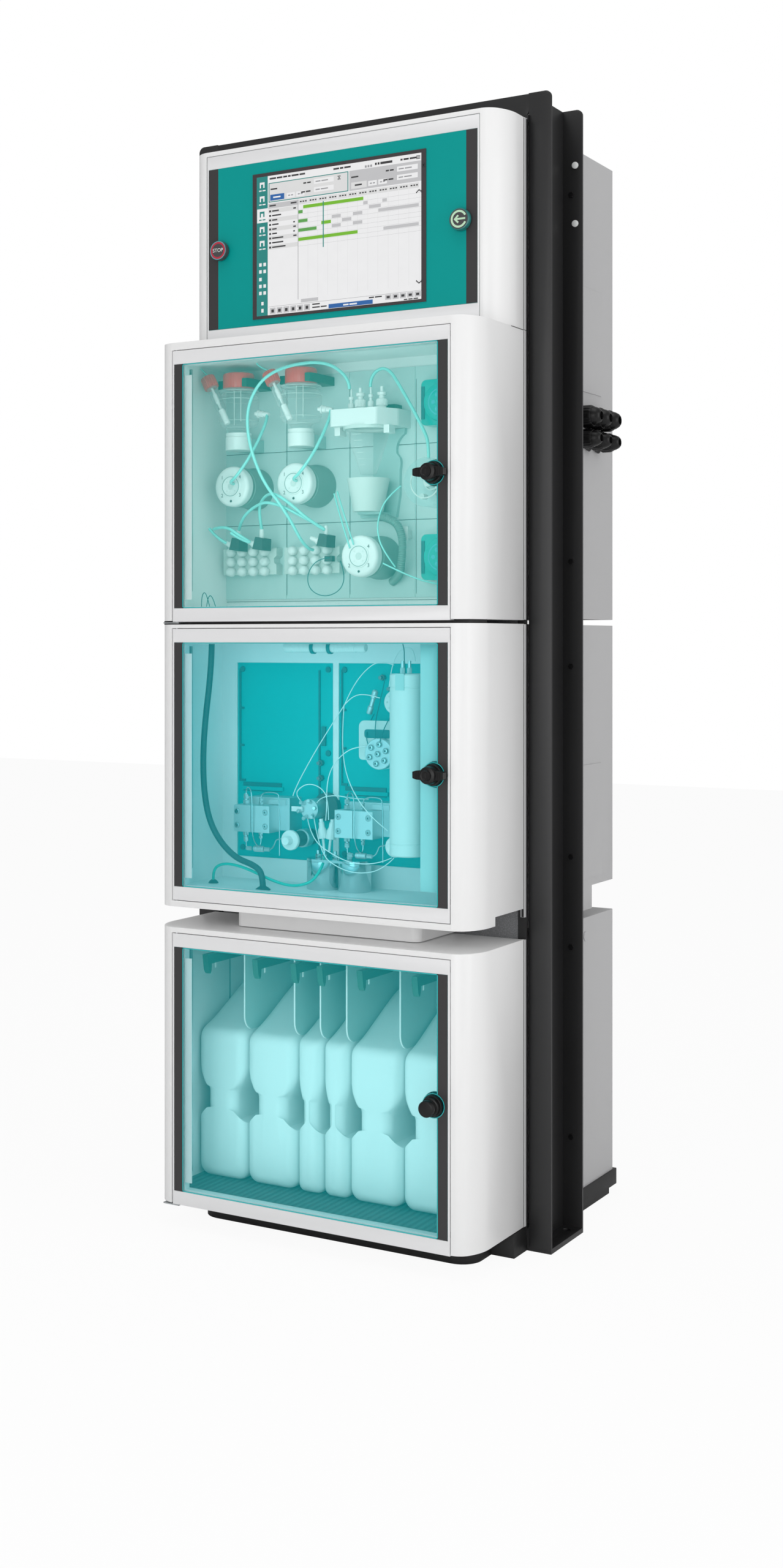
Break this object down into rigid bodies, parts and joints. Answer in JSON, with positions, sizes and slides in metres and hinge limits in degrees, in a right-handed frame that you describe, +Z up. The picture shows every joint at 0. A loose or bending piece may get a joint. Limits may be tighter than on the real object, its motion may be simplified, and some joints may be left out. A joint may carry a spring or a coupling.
{
  "type": "process ion chromatograph",
  "caption": "Tall floor-standing process analyser: a black channel frame with a touch display over glazed preparation, chromatography and reagent compartments, grey cabinets behind.",
  "frame": {"origin": "on the floor under the middle of the machine's box", "axes": "+X to the viewer's right, +Y to the back, +Z up; the doors face -Y"},
  "size_m": [0.66, 0.605, 1.81],
  "materials": {
    "white_paint": "smooth satin powder coat",
    "door_white": "smooth satin powder coat",
    "black_frame": "satin black powder coat",
    "textured_grey": "coarse textured coat",
    "cabinet_grey": "fine textured coat",
    "gland_black": "moulded nylon",
    "screw_black": "blackened steel",
    "teal_sheet": "printed back, satin front",
    "display_bezel": "dark glass border",
    "stop_red": "printed cap",
    "enter_teal": "printed cap",
    "hinge_metal": "plain",
    "tinted_pane": "tinted clear sheet",
    "lock_black": "moulded black",
    "wet_panel_white": "satin sheet",
    "vessel_glass": "clear",
    "cap_red": "moulded screw caps",
    "holder_white": "machined polymer",
    "drive_dark": "moulded",
    "pump_teal": "moulded",
    "clear_tube": "clear hose",
    "module_teal": "satin coat",
    "oven_white": "satin",
    "machined_steel": "turned and ground",
    "hose_dark": "matt",
    "capillary_steel": "drawn",
    "canister_plastic": "blown natural polymer",
    "divider_white": "sheet",
    "mat_rubber": "ribbed"
  },
  "bodies": {
    "frame": {"hmi_housing": "white_paint", "prep_housing": "white_paint", "ic_housing": "white_paint", "reagent_housing": "white_paint", "bottom_pan": "white_paint", "hmi_frame": "door_white", "left_upright": "black_frame", "right_upright": "black_frame", "top_crossbar": "black_frame", "front_plinth": "black_frame", "rear_base": "black_frame", "back_plate": "textured_grey", "rear_upper_cabinet": "cabinet_grey", "rear_middle_cabinet": "cabinet_grey", "rear_lower_cabinet": "cabinet_grey", "rear_covers": "cabinet_grey", "cable_glands": "gland_black", "frame_screws": "screw_black", "hmi_front_sheet": "teal_sheet", "display": "display_bezel", "door_hinges": "hinge_metal", "wet_panel": "wet_panel_white", "reaction_vessels": "vessel_glass", "titration_vessel": "vessel_glass", "flow_cell": "vessel_glass", "vessel_closures": "cap_red", "vessel_holders": "holder_white", "dosing_heads": "holder_white", "manifold_blocks": "holder_white", "manifold_fittings": "holder_white", "dosing_drives": "drive_dark", "peristaltic_pumps": "pump_teal", "prep_tubing": "clear_tube", "module_panels": "module_teal", "column_oven": "oven_white", "trap_cartridge": "oven_white", "rotary_valves": "machined_steel", "pump_blocks": "machined_steel", "dampers": "machined_steel", "drain_hose": "hose_dark", "capillaries": "capillary_steel", "canisters": "canister_plastic", "canister_dividers": "divider_white", "floor_mat": "mat_rubber"},
    "stop_button": {"stop_button": "stop_red"},
    "enter_button": {"enter_button": "enter_teal"},
    "left_purge_knob": {"left_purge_knob": "machined_steel"},
    "right_purge_knob": {"right_purge_knob": "machined_steel"},
    "prep_door": {"prep_door_frame": "door_white", "prep_window": "tinted_pane", "prep_lock_rose": "lock_black"},
    "prep_lock": {"prep_lock_handle": "lock_black"},
    "ic_door": {"ic_door_frame": "door_white", "ic_window": "tinted_pane", "ic_lock_rose": "lock_black"},
    "ic_lock": {"ic_lock_handle": "lock_black"},
    "reagent_door": {"reagent_door_frame": "door_white", "reagent_window": "tinted_pane", "reagent_lock_rose": "lock_black"},
    "reagent_lock": {"reagent_lock_handle": "lock_black"}
  },
  "joints": [
    {"name": "stop_button_press", "type": "slide", "parent": "frame", "child": "stop_button", "axis": [0, 1, 0], "range_m": [0, 0.002], "stiffness_N_per_m": 600},
    {"name": "enter_button_press", "type": "slide", "parent": "frame", "child": "enter_button", "axis": [0, 1, 0], "range_m": [0, 0.002], "stiffness_N_per_m": 600},
    {"name": "prep_door_hinge", "type": "hinge", "parent": "frame", "child": "prep_door", "pos_m": [-0.245, -0.271, 1.2045], "axis": [0, 0, -1], "range_deg": [0, 120]},
    {"name": "prep_lock_turn", "type": "hinge", "parent": "prep_door", "child": "prep_lock", "pos_m": [0.224, -0.275, 1.205], "axis": [0, 1, 0], "range_deg": [0, 90]},
    {"name": "ic_door_hinge", "type": "hinge", "parent": "frame", "child": "ic_door", "pos_m": [-0.245, -0.271, 0.753], "axis": [0, 0, -1], "range_deg": [0, 120]},
    {"name": "ic_lock_turn", "type": "hinge", "parent": "ic_door", "child": "ic_lock", "pos_m": [0.224, -0.275, 0.7535], "axis": [0, 1, 0], "range_deg": [0, 90]},
    {"name": "reagent_door_hinge", "type": "hinge", "parent": "frame", "child": "reagent_door", "pos_m": [-0.245, -0.271, 0.2585], "axis": [0, 0, -1], "range_deg": [0, 120]},
    {"name": "reagent_lock_turn", "type": "hinge", "parent": "reagent_door", "child": "reagent_lock", "pos_m": [0.224, -0.275, 0.259], "axis": [0, 1, 0], "range_deg": [0, 90]},
    {"name": "left_purge_knob_turn", "type": "hinge", "parent": "frame", "child": "left_purge_knob", "pos_m": [-0.089, -0.17, 0.629], "axis": [0, 1, 0], "range_deg": [0, 180]},
    {"name": "right_purge_knob_turn", "type": "hinge", "parent": "frame", "child": "right_purge_knob", "pos_m": [0.104, -0.17, 0.629], "axis": [0, 1, 0], "range_deg": [0, 180]}
  ]
}
